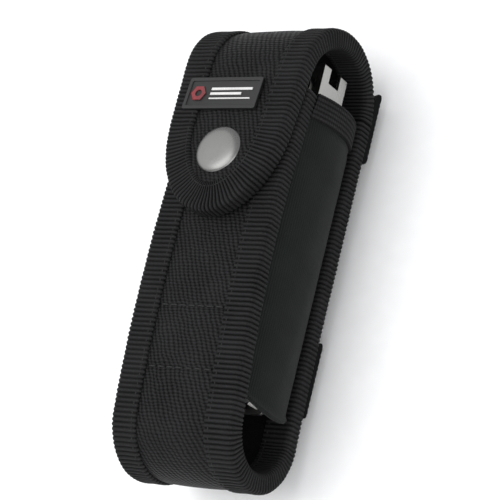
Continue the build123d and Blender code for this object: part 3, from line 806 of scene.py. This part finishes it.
def own(obj, material, body, *nodes):
    obj.data.materials.append(material)
    if nodes:
        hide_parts(*nodes)
    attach(obj, body)
    return obj


def bending(obj, material, *nodes):
    """A piece of the flap: it gets its material, hides the nodes it replaces and has its transform baked into
    the mesh.
    """
    obj.data.materials.append(material)
    if nodes:
        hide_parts(*nodes)
    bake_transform(obj)
    return obj


def stud_frame(radius):
    """Centre and normal of the press stud on a bowed face of that radius."""
    a = radians(turn_at(STUD_Y, FLAP_BOW if radius > BOW else BOW))
    return np.array([0.0, BOW_Y + radius * cos(a), BOW_Z + radius * sin(a)]), np.array([0.0, cos(a), sin(a)])


class SHEATH_OT_body(bpy.types.Operator):
    """Padded body strip with its lining, bound edges and seams"""
    bl_idname = "sheath.body"
    bl_label = "Padded body"

    def execute(self, context):
        z = sizes()
        total = run_length(BODY_RUN)
        s = np.linspace(0.0, total, 420)
        half = np.full(len(s), HALF_WIDTH - MARGIN)
        rows = [radians(turn_at(y, BOW) - turn_at(FRONT_TOP, BOW)) * BOW for y in STITCH_ROWS]
        cover = padded_panel("body_cover", BODY_RUN, s, half, CLOTH + FOAM, z.puff * 1000, rows)
        own(cover, ballistic_nylon(), "sheath", "shell_face", "shell_foam")
        lining = thin_panel("body_lining", BODY_RUN, s[::2], half[::2], CLOTH + FOAM + 0.02, PANEL)
        own(lining, lining_cloth(), "sheath", "shell_lining")
        tape, thread = grosgrain(), thread_stuff()
        for side, word in ((-1, "left"), (1, "right")):
            outline = straight_outline(side, 0.0, total)
            edge = bound_edge("body_tape_" + word, BODY_RUN, outline, LEG, z.rib_pitch * 1000,
                              z.rib_depth * 1000)
            own(edge, tape, "sheath", "shell_binding_" + word)
            seam = seam_along("body_seam_" + word, BODY_RUN, outline, SEAM_INSET, z.stitch * 1000, 2.0,
                              z.thread * 500, (SEAM_HEIGHT, -PANEL - SEAM_HEIGHT))
            own(seam, thread, "sheath")
        x = np.linspace(HALF_WIDTH - LEG - 0.1, -(HALF_WIDTH - LEG - 0.1), 60)
        outline = np.stack([x, 0 * x - MARGIN], -1)
        mouth = bound_edge("mouth_tape", BODY_RUN, outline, LEG, z.rib_pitch * 1000, z.rib_depth * 1000)
        own(mouth, tape, "sheath", "shell_binding_top")
        own(seam_along("mouth_seam", BODY_RUN, outline, SEAM_INSET, z.stitch * 1000, 2.0, z.thread * 500,
                       (SEAM_HEIGHT,)), thread, "sheath")
        across = np.arange(-3, 4) * 3.1
        centres, out = [], []
        for row in rows:
            p = trace(BODY_RUN, np.full(7, row))
            centres.append(on_run(BODY_RUN, across, np.full(7, row), np.full(7, 0.32)))
            out.append(np.stack([0 * across, p[:, 2], p[:, 3]], -1))
        along = np.tile(np.array([[1.0, 0, 0]]), (14, 1))
        own(stitch_run("front_rows", np.concatenate(centres), along, np.concatenate(out), 2.5,
                       z.thread * 800), thread, "sheath", "front_stitching")
        return {"FINISHED"}


class SHEATH_OT_flap(bpy.types.Operator):
    """Padded flap and the arch behind it, with lining, bound edge and seam"""
    bl_idname = "sheath.flap"
    bl_label = "Flap"

    def execute(self, context):
        z = sizes()
        total = run_length(FLAP_RUN)
        s = np.concatenate([np.linspace(0.2, total - 8, 190), np.linspace(total - 7.6, total - MARGIN, 30)])
        half = np.maximum(tongue(s + MARGIN) - MARGIN, 1.2)
        cover = padded_panel("flap_cover", FLAP_RUN, s, half, CLOTH + FOAM, z.puff * 1000)
        bending(cover, ballistic_nylon(), "flap_face", "flap_foam", "crown_face", "crown_foam")
        lining = thin_panel("flap_lining_cloth", FLAP_RUN, s, half, CLOTH + FOAM + 0.02, PANEL)
        bending(lining, lining_cloth(), "flap_lining", "crown_lining")
        outline = tongue_outline(0.2)
        edge = bound_edge("flap_tape", FLAP_RUN, outline, LEG, z.rib_pitch * 1000, z.rib_depth * 1000)
        bending(edge, grosgrain(), "flap_binding", "crown_binding_left", "crown_binding_right")
        seam = seam_along("flap_seam", FLAP_RUN, outline, SEAM_INSET, z.stitch * 1000, 2.0, z.thread * 500,
                          (SEAM_HEIGHT, -PANEL - SEAM_HEIGHT))
        bending(seam, thread_stuff())
        return {"FINISHED"}


class SHEATH_OT_belt(bpy.types.Operator):
    """Webbing on the back: two cross loops and an upright strap"""
    bl_idname = "sheath.belt"
    bl_label = "Belt webbing"

    def execute(self, context):
        cloth_stuff, pitch = belt_cloth(), sizes().web_ribs * 1000
        r, low = STRAP_CORNER, -STANDOFF + WEB / 2 + FLOOR_GAP
        bow = (LOOP_HALF ** 2 + LOOP_RISE ** 2) / (2 * LOOP_RISE)
        reach = degrees(acos(19.6 / (bow - WEB / 2)))
        run = [("arc", 0.0, bow - STANDOFF, bow - WEB / 2 - FLOOR_GAP, 180 + reach, 360 - reach)]
        for word, span in (("lower", LOOP_LOW), ("upper", LOOP_HIGH)):
            loop = webbing("belt_loop_" + word + "_web", run, span[1] - span[0], pitch, sum(span) / 2, True)
            own(loop, cloth_stuff, "sheath", "belt_loop_" + word)
        y0, y1 = STRAP_SPAN[0] + WEB / 2, STRAP_SPAN[1] - WEB / 2
        run = [("run", y0, -0.05, y0, low + r), ("arc", y0 + r, low + r, r, 180, 270),
               ("run", y0 + r, low, y1 - r, low), ("arc", y1 - r, low + r, r, 270, 360),
               ("run", y1, low + r, y1, -0.05)]
        strap = webbing("belt_strap_web", run, STRAP_WIDTH, pitch, 0.0, False)
        own(strap, cloth_stuff, "sheath", "belt_strap")
        return {"FINISHED"}


class SHEATH_OT_sides(bpy.types.Operator):
    """Elastic side walls with their ribbed top hems"""
    bl_idname = "sheath.sides"
    bl_label = "Elastic sides"

    def execute(self, context):
        stretch, tape = knit(), grosgrain()
        for side, word in ((-1, "left"), (1, "right")):
            wall, wide, tall = side_wall("side_wall_" + word, side, GUSSET_LOW, GUSSET_HIGH, GUSSET_RADIUS,
                                         (1.1, 0.0), roll=0.7)
            own(wall, stretch, "sheath", "gusset_" + word)
            hem, _, _ = side_wall("side_hem_" + word, side, HEM_LOW, HEM_HIGH, GUSSET_RADIUS, (1.65, 0.5),
                                  ribs=0.16)
            own(hem, tape, "sheath", "gusset_hem_" + word)
        return {"FINISHED"}


class SHEATH_OT_stud(bpy.types.Operator):
    """Press stud: cap, socket, stud and its rivet"""
    bl_idname = "sheath.stud"
    bl_label = "Press stud"

    def execute(self, context):
        plate = nickel()
        origin, normal = stud_frame(FLAP_BOW)
        key = np.array([(0.02, 2.0), (2.0, 1.96), (4.0, 1.82), (5.4, 1.6), (6.3, 1.34), (6.95, 1.0),
                        (7.3, 0.66), (CAP_RADIUS, 0.36), (CAP_RADIUS, 0.12), (7.3, -0.1), (6.9, -0.2),
                        (2.4, -0.2), (1.95, -0.3),
                        (1.9, -PANEL - 0.3), (0.02, -PANEL - 0.3)])
        t = np.arange(len(key))
        fine = np.linspace(0, len(key) - 1, 85)
        profile = np.stack([np.interp(fine, t, key[:, 0]), np.interp(fine, t, key[:, 1])], -1)
        kernel = np.ones(5) / 5
        middle = np.stack([np.convolve(profile[:, k], kernel, "same") for k in (0, 1)], -1)
        profile[3:-3] = middle[3:-3]
        own(turned("stud_cap", profile, origin, normal), plate, "flap", "snap_cap")
        for node in ("snap_socket", "snap_stud", "snap_rivet"):
            eased_copy(node, 0.12, plate, angle=40)
        return {"FINISHED"}


class SHEATH_OT_badge(bpy.types.Operator):
    """Moulded badge with a plain ring and bars"""
    bl_idname = "sheath.badge"
    bl_label = "Badge"

    def execute(self, context):
        eased_copy("badge", 0.25, rubber(), 3)
        marks = eased_copy("badge_emblem", 0.08, light_ink())
        marks.data.materials.append(red_ink())
        centres = np.zeros(len(marks.data.polygons) * 3)
        marks.data.polygons.foreach_get("center", centres)
        ring = centres.reshape(-1, 3)[:, 0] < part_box("badge_emblem")[0][0] + 0.0056
        marks.data.polygons.foreach_set("material_index", ring.astype(np.int32))
        return {"FINISHED"}


class SHEATH_OT_tool(bpy.types.Operator):
    """Handles, grips, plier head, blades and drivers"""
    bl_idname = "sheath.tool"
    bl_label = "Folding tool"

    def execute(self, context):
        ease = sizes().ease * 1000
        steel, blade, head, grip = stainless(), ground_steel(), blasted_steel(), anodised()
        for word in ("left", "right"):
            eased_copy("handle_" + word, ease, steel)
            for face in ("front", "back"):
                eased_copy("scale_" + word + "_" + face, 0.15, grip)
            for node in ("scale_screws_", "head_pin_", "implement_pin_"):
                eased_copy(node + word, 0.1, head if node == "scale_screws_" else steel)
            for node in ("backspring_", "washers_"):
                eased_copy(node + word, 0.08, blade)
        for node in ("jaw_a", "jaw_b"):
            eased_copy(node, 0.15, head)
        eased_copy("jaw_rivet", 0.12, steel)
        for node in ("knife_blade", "serrated_blade", "wide_driver", "can_opener", "saw_blade", "file_blade",
                     "cross_driver", "bottle_opener"):
            eased_copy(node, 0.1, blade)
        return {"FINISHED"}


class SHEATH_OT_stage(bpy.types.Operator):
    """Pale floor, soft lights and the camera"""
    bl_idname = "sheath.stage"
    bl_label = "Stage"

    def execute(self, context):
        mesh = bpy.data.meshes.new("studio_floor")
        mesh.from_pydata([(-6, -6, 0), (6, -6, 0), (6, 6, 0), (-6, 6, 0)], [], [(0, 1, 2, 3)])
        floor = linked("studio_floor", mesh)
        # Matt painted board: no gloss, very slight mottling.
        c = tuple(colours().floor)
        floor.data.materials.append(moulded("painted board, matt", dim(c, 0.97), c, 0.8, 4.0, 0.01))
        world = bpy.data.worlds.new("pale room")
        world.use_nodes = True
        sky = world.node_tree.nodes["Background"]
        sky.inputs[0].default_value = (0.97, 0.98, 1.0, 1)
        seen = add(world.node_tree, "ShaderNodeLightPath")
        level = add(world.node_tree, "ShaderNodeMapRange", Value=seen.outputs["Is Camera Ray"],
                    To_Min=0.7, To_Max=0.97)
        world.node_tree.links.new(level.outputs[0], sky.inputs[1])
        context.scene.world = world
        lamps = (("key", (-0.50, 0.10, 0.62), 1.2, 2.7), ("fill", (0.60, -0.40, 0.50), 0.9, 2.9),
                 ("top", (-0.1, -0.10, 0.85), 0.8, 3.4), ("low", (-0.15, -0.65, 0.30), 0.6, 0.35))
        for name, place, size, power in lamps:
            light = bpy.data.lights.new(name, "AREA")
            light.shape, light.size, light.energy = "DISK", size, power
            lamp = linked(name, light)
            aim = (np.array((0.0, 0.0, 0.02)) - place)
            lamp.location = place
            lamp.rotation_euler = Matrix(frame_towards(aim)).to_euler()
        u = np.array((0.8181, 0.2317, -0.5264))
        v = np.array((-0.0283, 0.9304, 0.3656))
        w = np.array((0.5744, -0.2842, 0.7676))
        target = settled([(1.818, 70.563, 19.218)])[0]
        data = bpy.data.cameras.new("camera")
        data.sensor_width, data.lens, data.clip_start = 36.0, 172.80, 0.01
        camera = linked("camera", data)
        camera.rotation_euler = Matrix(np.stack([u, v, w], 1).tolist()).to_euler()
        camera.location = tuple(target + w * 0.700)
        context.scene.camera = camera
        context.scene.view_settings.view_transform = "Standard"
        return {"FINISHED"}


def frame_towards(aim):
    """Rows of a turn that points -Z along aim: z = -aim, x = up x z, y = z x x."""
    z = -aim / np.linalg.norm(aim)
    x = np.cross((0.0, 1.0, 0.01), z)
    x /= np.linalg.norm(x)
    return np.stack([x, np.cross(z, x), z], 1).tolist()


STEPS = (SHEATH_OT_body, SHEATH_OT_flap, SHEATH_OT_belt, SHEATH_OT_sides, SHEATH_OT_stud, SHEATH_OT_badge,
         SHEATH_OT_tool, SHEATH_OT_stage)


class SHEATH_PT_panel(bpy.types.Panel):
    """The sheath's pieces, sizes and colours"""
    bl_idname = "SHEATH_PT_panel"
    bl_label = "Sheathed tool"
    bl_space_type = "VIEW_3D"
    bl_region_type = "UI"
    bl_category = "Sheath"

    def draw(self, context):
        for step in STEPS:
            self.layout.operator(step.bl_idname)
        for group in (context.scene.sheath_sizes, context.scene.sheath_colours):
            for key in group.bl_rna.properties.keys():
                if key not in ("rna_type", "name"):
                    self.layout.prop(group, key)


def register():
    for item in (SheathSizes, SheathColours, *STEPS, SHEATH_PT_panel):
        bpy.utils.register_class(item)
    bpy.types.Scene.sheath_sizes = bpy.props.PointerProperty(type=SheathSizes)
    bpy.types.Scene.sheath_colours = bpy.props.PointerProperty(type=SheathColours)


def unregister():
    del bpy.types.Scene.sheath_colours
    del bpy.types.Scene.sheath_sizes
    for item in reversed((SheathSizes, SheathColours, *STEPS, SHEATH_PT_panel)):
        bpy.utils.unregister_class(item)


def main():
    register()
    for step in STEPS:
        group, name = step.bl_idname.split(".")
        getattr(getattr(bpy.ops, group), name)()


if __name__ == "__main__":
    main()
